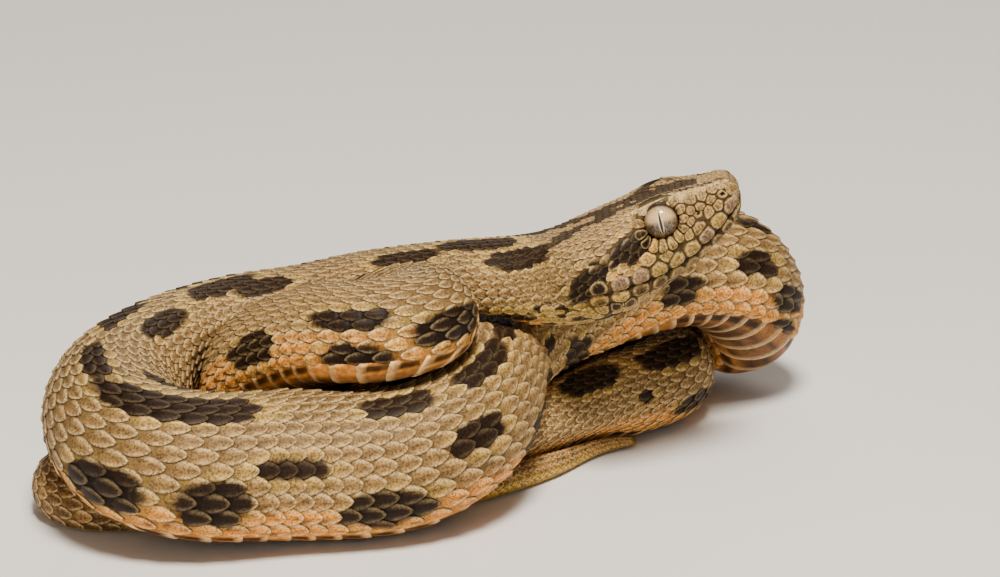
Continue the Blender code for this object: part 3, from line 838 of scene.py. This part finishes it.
def plate_reach(across, up, angle, largest):
    """How far a plate reaches in each direction: halfway to its neighbours, at the offsets given."""
    gap = np.hypot(across, up)
    near = (gap > 0.05) & (gap < 6)
    facing = np.cos(angle[:, None] - np.arctan2(up[near], across[near])[None])
    reach = np.where(facing > 0.05, gap[near] / 2 / np.maximum(facing, 0.05), 9.0).min(axis=1)
    reach = np.minimum(reach * 0.965, largest)
    return (np.roll(reach, 1) + 4 * reach + np.roll(reach, -1)) / 6


def plate_tones(tones, s, level, seed, shares, kind):
    """A plate's marking with dark grain, a pale band, and painted shade: a dark seam at its edge, and a
    hole darkened inside.
    """
    grain = np.abs(np.sin(5.3 * s + 9 * seed) * np.cos(6.1 * level + 5 * seed)) + 0.25 * (seed > 0.6)
    tones = mix(tones, tones * 0.3, smooth(0.32, 0.85, grain) * 0.75)
    tones = mix(tones, mix(SCALE_RIM, YELLOW, 0.35), bump(shares - 0.70, 0.12) * 0.42)
    # painted shade in the seams between the plates
    tones = mix(tones, tones * 0.12, smooth(0.84, 0.97, shares) * 0.9)
    # painted shade inside the pit and the nostril
    if kind == "hole":
        tones = mix(tones, INK_AND_SHADE, smooth(0.74, 0.5, shares))
    return tones


def build_mosaic(name, surface, finish):
    """Plates that meet edge to edge: each grows from its middle until halfway to its neighbours."""
    angle = np.arange(PLATE_SIDES) * 2 * math.pi / PLATE_SIDES
    shares = PLATE_RINGS[:, None] + 0 * angle
    points, faces, colours, maps = [], [], [], []
    cell = plate_faces()
    centres = face_centres()
    s, height = np.array([c[:2] for c in centres], float).T
    for side in (1, -1):
        turn = turn_at_height(surface, s, height, side)
        arc = surface.read(surface.arc, s, turn)
        for i, (_, _, kind) in enumerate(centres):
            reach = plate_reach(s - s[i], (turn - turn[i]) * arc[i], angle, LARGEST_PLATE[kind])
            at_s = np.clip(s[i] + shares * reach * np.cos(angle), 0.03, 60)
            at_turn = turn[i] + shares * reach * np.sin(angle) / arc[i]
            place = surface.read(surface.points, at_s, at_turn)
            normal = surface.read(surface.normals, at_s, at_turn)
            lift = (0.42 if kind == "ring" else 0.30) * (0.85 + 0.3 * RNG.random())
            top = place + normal * (lift * PLATE_RISE)[:, None, None]
            points.append(np.concatenate([top, place[-1:] - normal[-1:] * SKIRT]).reshape(-1, 3))
            faces.append(cell + len(faces) * (len(PLATE_RINGS) + 1) * PLATE_SIDES)
            seed = np.full(at_s.shape, RNG.random())
            level = surface.read(surface.outer, at_s, at_turn) * np.cos(at_turn)
            tones = markings(0.6 * s[i] + 0.4 * at_s, at_turn, 0.6 * height[i] + 0.4 * level, seed)
            tones = plate_tones(tones, at_s, level, seed, shares, kind)
            # painted shade: the plate's lowest point, under its edge, at four tenths of its colour
            colours.append(np.concatenate([tones, tones[-1:] * 0.4]).reshape(-1, 3))
            root = strip_map(s[i:i + 1], turn[i:i + 1], surface.line.length)
            patch = np.stack([shares * np.cos(angle), shares * np.sin(angle)], axis=-1) * PATCH / 2
            maps.append((root + np.concatenate([patch, patch[-1:]])).reshape(-1, 2))
    return add_coat(name, points, faces, colours, maps, finish)


# The ridge from the nostril to the brow plate, and the snout's tip: distance from the snout, height over
# the axis, length, width.
RIDGE_PLATES = [(1.6, 2.75, 1.9, 1.4), (3.6, 3.5, 2.5, 1.6), (5.9, 4.0, 2.7, 1.7), (8.3, 4.5, 2.7, 1.8),
                (BROW_PLATE, 5.3, 6.4, 2.6), (0.35, 1.1, 1.5, 1.6), (0.35, -0.2, 1.5, 1.6)]


def head_plates(surface):
    """The ridge plates, the scales of the dark stripe behind the eye, and those of the throat."""

    def pair(s, height, long, wide, lean, lift):
        return [(s, turn_at_height(surface, [s], [height], side)[0], long, wide, lean * side, lift)
                for side in (1, -1)]

    ridge, stripe, throat = [], [], []
    for s, height, long, wide in RIDGE_PLATES:
        ridge += pair(s, height, long, wide, 0.0, 0.32)
    for row in (-1, 0, 1):
        for s in np.arange(16.6 + 1.0 * (row % 2), 32.5, 2.0):
            stripe += pair(s, table(s, STRIPE) + row * 1.3, 3.0, 2.0, 0.3, 0.42)
    for row, s in enumerate(np.arange(0.5, 39.0, 1.5)):
        half = table(s, [(0.5, 54), (4, 34), (10, 36), (25, 52), (39, 56)])
        across = table(s, [(0.5, 18), (4, 12), (10, 9)])
        turns = np.radians(180 + np.arange(-half, half + 1, across) + (across / 2 if row % 2 else 0))
        arc = surface.read(surface.arc, np.full(len(turns), s), turns)
        throat += [(s, turn, 2.4, a * math.radians(across) * 1.3, 0.0, 0.2) for turn, a in zip(turns, arc)]
    return [Scales(*np.array(rows).T, kind, 0.0)
            for rows, kind in ((ridge, "plate"), (stripe, "keeled"), (throat, "keeled"))]


# ---- materials ---------------------------------------------------------------------
def new_material(name):
    """A material, its nodes and its shader."""
    made = bpy.data.materials.new(name)
    made.use_nodes = True
    return made, made.node_tree, made.node_tree.nodes["Principled BSDF"]


def feed(tree, node, inputs):
    """Gives a node's inputs their values, or links them to another node's output."""
    for name, value in inputs.items():
        if isinstance(value, bpy.types.NodeSocket):
            tree.links.new(value, node.inputs[name])
        else:
            node.inputs[name].default_value = value


def add_node(tree, kind, inputs, **settings):
    node = tree.nodes.new("ShaderNode" + kind)
    for name, value in settings.items():
        setattr(node, name, value)
    feed(tree, node, inputs)
    return node


def scaly(name, speck_size, speck_strength, roughness, bump_strength):
    """Markings from the mesh, fine dark and pale speckle, and a slight grain."""
    made, tree, shader = new_material(name)
    colour = add_node(tree, "Attribute", {}, attribute_name="markings")
    place = add_node(tree, "TexCoord", {})
    noise = add_node(tree, "TexNoise", {"Vector": place.outputs["Object"], "Detail": 3,
                                        "Scale": 1 / (speck_size * MM)})
    speck = noise.outputs["Fac"]
    dots = add_node(tree, "ValToRGB", {"Fac": speck})
    dark, pale = dots.color_ramp.elements
    dark.position, pale.position = 0.36, 0.58
    dark.color = (speck_strength, speck_strength * 0.92, speck_strength * 0.84, 1)
    pale.color = (1.12, 1.12, 1.12, 1)
    blend = add_node(tree, "Mix", {"Factor": 1.0, "A": colour.outputs["Color"], "B": dots.outputs["Color"]},
                     data_type="RGBA", blend_type="MULTIPLY")
    rough = add_node(tree, "MapRange", {"Value": speck, "To Min": roughness - 0.08,
                                        "To Max": roughness + 0.12})
    grain = add_node(tree, "Bump", {"Height": speck, "Strength": bump_strength, "Distance": 0.08 * MM})
    feed(tree, shader, {"Base Color": blend.outputs["Result"], "Roughness": rough.outputs["Result"],
                        "Normal": grain.outputs["Normal"], "Specular IOR Level": 0.2, "IOR": 1.33})
    return made


def eye_material():
    """Markings from the mesh under a clear, glossy coat."""
    made, tree, shader = new_material("eye")
    colour = add_node(tree, "Attribute", {}, attribute_name="markings")
    feed(tree, shader, {"Base Color": colour.outputs["Color"], "Roughness": 0.35, "Coat Weight": 0.8,
                        "Coat Roughness": 0.03, "Specular IOR Level": 0.2})
    return made


# ---- the animal ----------------------------------------------------------------------
SEAM_PAINTED_SHADE = [(0, 0.16), (28, 0.2), (40, 0.5)]  # the skin between the scales, as a share of their colour: painted shade in the gaps between them
EYE_RINGS, EYE_TURNS, EYE_POLE = 96, 160, 0.012
PUPIL_LEAN = -14            # degrees that the pupil stands nearer to upright than the head does
PUPIL_HALF, PUPIL_TALL = 0.24, 2.35


def make_skin(surface, finish):
    """The skin, darker than the scales over it as painted shade in the gaps, with near black painted shade
    in the mouth line, pit, nostril and socket.
    """
    rings, turns = surface.points.shape[:2]
    s = np.repeat(surface.s, turns)
    turn = np.tile(surface.turn, rings)
    reach = surface.outer.ravel()
    height, side = reach * np.cos(turn), reach * np.abs(np.sin(turn))
    colour = markings(s, turn, height, np.full(len(s), 0.5)) * table(s, SEAM_PAINTED_SHADE)[:, None]
    below = smooth(BELLY_FROM - 2, BELLY_FROM + 4, np.abs(degrees_round(turn))) * (s > 38)
    # painted shade: under the belly plates the skin is orange at half its brightness
    colour = mix(colour, ORANGE * 0.5, below * 0.8)
    mouth = bump(height - table(s, MOUTH), 0.35) * (s < 29) * smooth(0.3, 1, side)
    pit = spot(s, height, PIT, (0.95, 0.75)) * (side > 3)
    nostril = spot(s, height, NOSTRIL, (0.6, 0.55)) * (side > 1)
    socket = (np.hypot(s - EYE_FROM_SNOUT, height - EYE_HEIGHT) < EYE_RADIUS) * (side > 4) * 0.9
    # painted shade: the mouth line, the pit, the nostril and the socket round the eye are darkened to near
    # black as if shaded
    for shaded_hollow in (mouth, pit, nostril, socket):
        colour = mix(colour, INK_AND_SHADE, shaded_hollow)
    # the bare end of the snout is the plate at its tip
    colour = mix(colour, mix(GROUND_PALE, GREY, 0.6), smooth(0.5, 0.3, s))
    points, faces = surface.points.reshape(-1, 3), closed_tube(rings, turns, False)
    return add_mesh("skin", points, faces, colour, strip_map(s, turn, surface.line.length), finish)


def iris_colour(x, y):
    """Colours of the eye at x forward and y up from the pupil's middle: pale above, dark veined below."""
    radial, turn = np.hypot(x, y), np.arctan2(y, x)
    across_veins = np.sin(turn * 37 + 3 * np.sin(radial * 5.3 + turn * 3))
    vein = across_veins * np.sin(radial * 11 + 3 * np.sin(turn * 7))
    fleck = np.sin(x * 13 + 2.5 * np.sin(y * 5.1)) * np.sin(y * 12 + 2.5 * np.sin(x * 4.3))
    vein, fleck = 0.5 + 0.5 * vein, 0.5 + 0.5 * fleck
    grey = mix(IRIS_GREY, IRIS_DARK, smooth(0.38, 0.6, np.maximum(vein, fleck) * 0.7 + 0.1))
    cream = mix(IRIS_CREAM, IRIS_BROWN, smooth(0.6, 0.8, vein) * 0.65)
    iris = mix(grey, cream, smooth(0.0, 0.8, y + 1.0 * (vein - 0.5)))
    iris = mix(iris, IRIS_BROWN, smooth(2.0, 2.7, radial) * 0.6)
    slit_half = PUPIL_HALF * np.maximum(1 - (y / PUPIL_TALL) ** 2, 0.02)
    slit = np.sqrt((x / slit_half) ** 2 + (y / PUPIL_TALL) ** 8)
    iris = mix(iris, PUPIL_RIM, smooth(1.9, 1.3, slit) * (np.abs(y) < 2.7) * 0.8)
    iris = mix(iris, INK_AND_SHADE * 0.2, smooth(1.12, 0.92, slit))
    return mix(iris, INK_AND_SHADE, smooth(2.62, 2.9, radial) * 0.97)


def make_eye(name, line, side, finish):
    point, tangent, _, _ = line.at(EYE_FROM_SNOUT)
    left, back = frame_at(tangent)
    centre = point + side * EYE_OUT * left + EYE_HEIGHT * back
    polar = np.linspace(EYE_POLE, math.pi - EYE_POLE, EYE_RINGS)[:, None]
    turn = np.arange(EYE_TURNS) * 2 * math.pi / EYE_TURNS
    lean = math.radians(PUPIL_LEAN)
    forward = -tangent * math.cos(lean) + back * math.sin(lean)
    upright = back * math.cos(lean) + tangent * math.sin(lean)
    out, along, up = np.cos(polar) + 0 * turn, np.sin(polar) * np.cos(turn), np.sin(polar) * np.sin(turn)
    ball = out[..., None] * side * left + along[..., None] * forward + up[..., None] * upright
    points = (centre + ball * EYE_RADIUS).reshape(-1, 3)
    colour = iris_colour(along * EYE_RADIUS, up * EYE_RADIUS).reshape(-1, 3)
    faces = closed_tube(EYE_RINGS, EYE_TURNS, True)
    if side < 0:
        faces = faces[:, ::-1]
    # the outer half of the eye on the map's left, the inner half on its right
    uv = np.stack([(0.5 + 0.48 * along) * 0.5 + np.where(out > 0, 0.0, 0.5), 0.5 + 0.48 * up], axis=-1)
    return add_mesh(name, points, faces, colour, uv.reshape(-1, 2), finish)


# ---- floor, light and camera ----------------------------------------------------------
FLOOR_SIZE, FLOOR_DROP, FLOOR_COLOUR, FLOOR_ROUGHNESS = 12, 0.3 * MM, (0.70, 0.68, 0.65, 1), 0.85
WORLD_COLOUR, WORLD_STRENGTH = (1.0, 0.97, 0.93, 1), 0.17
LIT_POINT = (0, 0, 20 * MM)                     # which the lamps face
# Lamps: name, place, size, power, colour.
LAMPS = [("key", (0.04, -0.42, 0.80), 0.20, 17.0, (1.0, 0.93, 0.83)),
         ("fill", (-0.15, -0.85, 0.24), 0.6, 2.2, (1.0, 0.95, 0.86)),
         ("rim", (0.1, 0.8, 0.6), 0.6, 3.0, (1.0, 0.98, 0.95))]
CAMERA_DOWN = 19            # degrees
CAMERA_TARGET = (-2.75, -14.3, 21.25)           # in mm; the camera stands back from here by its distance
CAMERA_DISTANCE, CAMERA_WIDTH = 0.765, 0.170    # in metres; the width is the view's, there
AIM_RIGHT, AIM_UP = 0.01445, 0.0125             # in metres, from the target to the middle of the frame
CAMERA_SENSOR = 36


def make_stage():
    bpy.ops.mesh.primitive_plane_add(size=FLOOR_SIZE, location=(0, 0, -FLOOR_DROP))
    floor = bpy.context.object
    floor.name = "floor"
    pale, tree, shader = new_material("floor")
    feed(tree, shader, {"Base Color": FLOOR_COLOUR, "Roughness": FLOOR_ROUGHNESS})
    floor.data.materials.append(pale)
    world = bpy.data.worlds.new("world")
    world.use_nodes = True
    background = world.node_tree.nodes["Background"]
    feed(world.node_tree, background, {"Color": WORLD_COLOUR, "Strength": WORLD_STRENGTH})
    bpy.context.scene.world = world
    for name, place, size, power, colour in LAMPS:
        lamp = bpy.data.lights.new(name, "AREA")
        lamp.size, lamp.energy, lamp.color = size, power, colour
        holder = bpy.data.objects.new(name, lamp)
        holder.location = place
        holder.rotation_euler = (Vector(LIT_POINT) - Vector(place)).to_track_quat("-Z", "Y").to_euler()
        bpy.context.scene.collection.objects.link(holder)


def make_camera():
    """At the viewing angle, on a point that stands left of and below the middle of the frame."""
    down = math.radians(CAMERA_DOWN)
    forward = Vector((0, math.cos(down), -math.sin(down)))
    right = Vector((1, 0, 0))
    up = right.cross(forward)
    target = Vector(CAMERA_TARGET) * MM
    aim = target + right * AIM_RIGHT + up * AIM_UP
    place = target - forward * CAMERA_DISTANCE
    lens = bpy.data.cameras.new("camera")
    lens.sensor_width = CAMERA_SENSOR
    lens.lens = CAMERA_SENSOR * CAMERA_DISTANCE / CAMERA_WIDTH
    lens.clip_start, lens.clip_end = 0.01, 30
    holder = bpy.data.objects.new("camera", lens)
    holder.location = place
    holder.rotation_euler = (aim - place).to_track_quat("-Z", "Y").to_euler()
    bpy.context.scene.collection.objects.link(holder)
    bpy.context.scene.camera = holder


def trunk_pieces(surface, finish):
    """The scales of the trunk and tail, zone by zone, a long zone in several pieces."""
    made = []
    for number, (start, end, rows) in enumerate(ROW_ZONES):
        parts = int((end - start) / PIECE_LENGTH) + 1 if end - start > LONGEST_PIECE else 1
        cuts = np.linspace(start, end, parts + 1)
        for part, (a, b) in enumerate(zip(cuts, cuts[1:])):
            name = "scales_%d_%d" % (number, part)
            made.append(build_coat(name, surface, trunk_scales(surface, a, b, rows), finish, scale_tones))
    return made


def main():
    make_camera()
    make_stage()
    line = CentreLine()
    surface = Surface(line)
    hide = scaly("skin", 0.5, 0.7, 0.62, 0.3)
    horn = scaly("scales", 0.38, 0.42, 0.5, 0.4)
    belly = scaly("belly_scales", 0.9, 0.72, 0.42, 0.2)
    glassy = eye_material()

    skin = make_skin(surface, hide)
    flesh = [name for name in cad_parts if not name.startswith("eye")]
    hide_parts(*flesh)
    pieces = [skin, *trunk_pieces(surface, horn)]
    for name, start, end in (("belly_plates", 38.0, VENT - 2), ("tail_plates", VENT + 3, 864.0)):
        pieces.append(build_coat(name, surface, belly_plates(surface, start, end), belly, belly_tones))
    for name, groups in (("head_scales", head_scales), ("head_plates", head_plates)):
        pieces.append(build_coat(name, surface, groups(surface), horn, scale_tones))
    pieces.append(build_mosaic("face_plates", surface, horn))
    for name, side in (("eye_left", 1), ("eye_right", -1)):
        eye = make_eye("snake_" + name, line, side, glassy)
        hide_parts(name)
        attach(eye, "root")
    for piece in pieces:
        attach(piece, "root")
    bpy.context.view_layer.update()


main()
